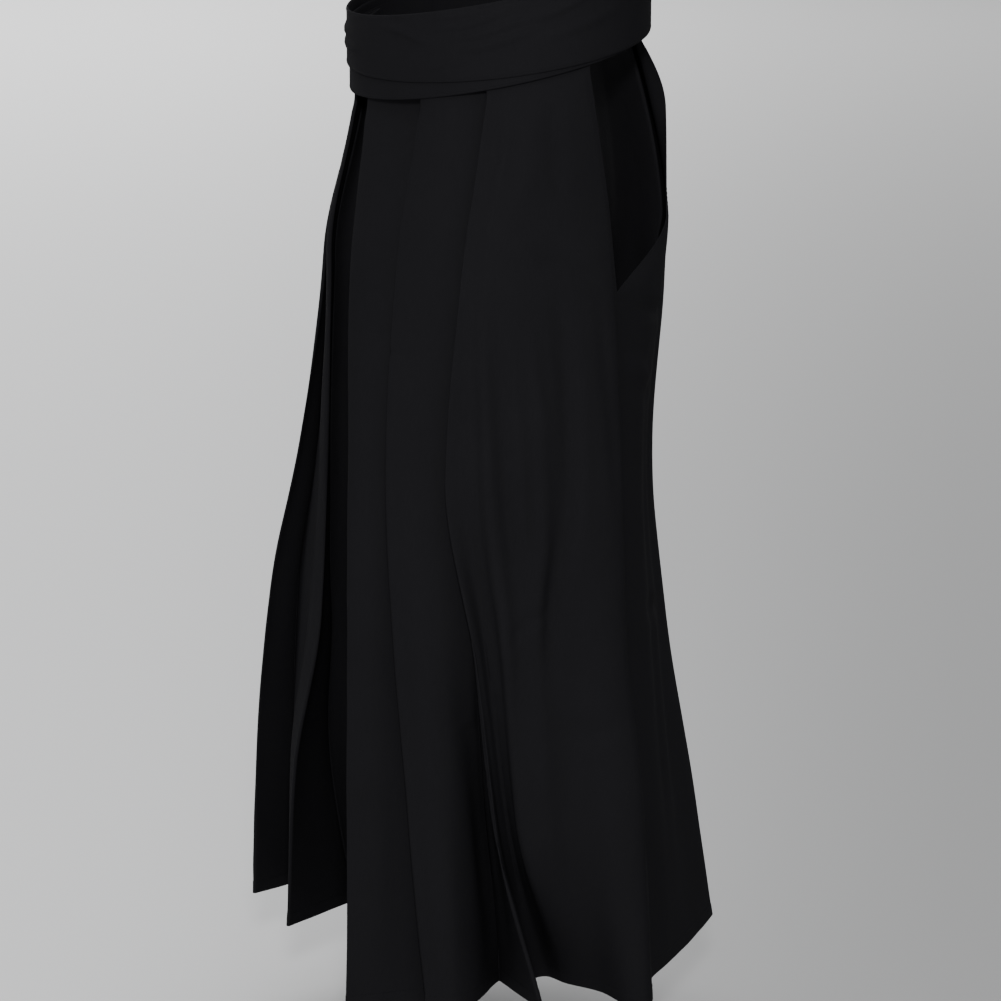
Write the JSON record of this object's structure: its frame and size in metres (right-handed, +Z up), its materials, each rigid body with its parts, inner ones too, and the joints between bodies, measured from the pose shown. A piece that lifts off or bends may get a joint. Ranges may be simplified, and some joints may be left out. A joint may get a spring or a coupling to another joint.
{
  "type": "hakama trousers",
  "caption": "Wide pleated trousers with a divided leg, side openings at the hips and a cloth belt wound round the waist, standing open in their worn form.",
  "frame": {"origin": "middle of the waist, half-way up the belt", "axes": "+Z up, the wearer faces -Y and their left is +X"},
  "size_m": [0.5286, 0.4514, 0.9823],
  "materials": {
    "front_left_cloth": "matt plain-woven cotton",
    "front_right_cloth": "matt plain-woven cotton",
    "back_left_cloth": "matt plain-woven cotton",
    "back_right_cloth": "matt plain-woven cotton",
    "inner_leg_left_cloth": "matt plain-woven cotton",
    "inner_leg_right_cloth": "matt plain-woven cotton",
    "belt_under_wrap_cloth": "matt plain-woven cotton",
    "belt_outer_wrap_cloth": "matt plain-woven cotton"
  },
  "bodies": {
    "root": {"front_left": "front_left_cloth", "front_right": "front_right_cloth", "back_left": "back_left_cloth", "back_right": "back_right_cloth", "inner_leg_left": "inner_leg_left_cloth", "inner_leg_right": "inner_leg_right_cloth", "belt_under_wrap": "belt_under_wrap_cloth", "belt_outer_wrap": "belt_outer_wrap_cloth"}
  },
  "joints": []
}
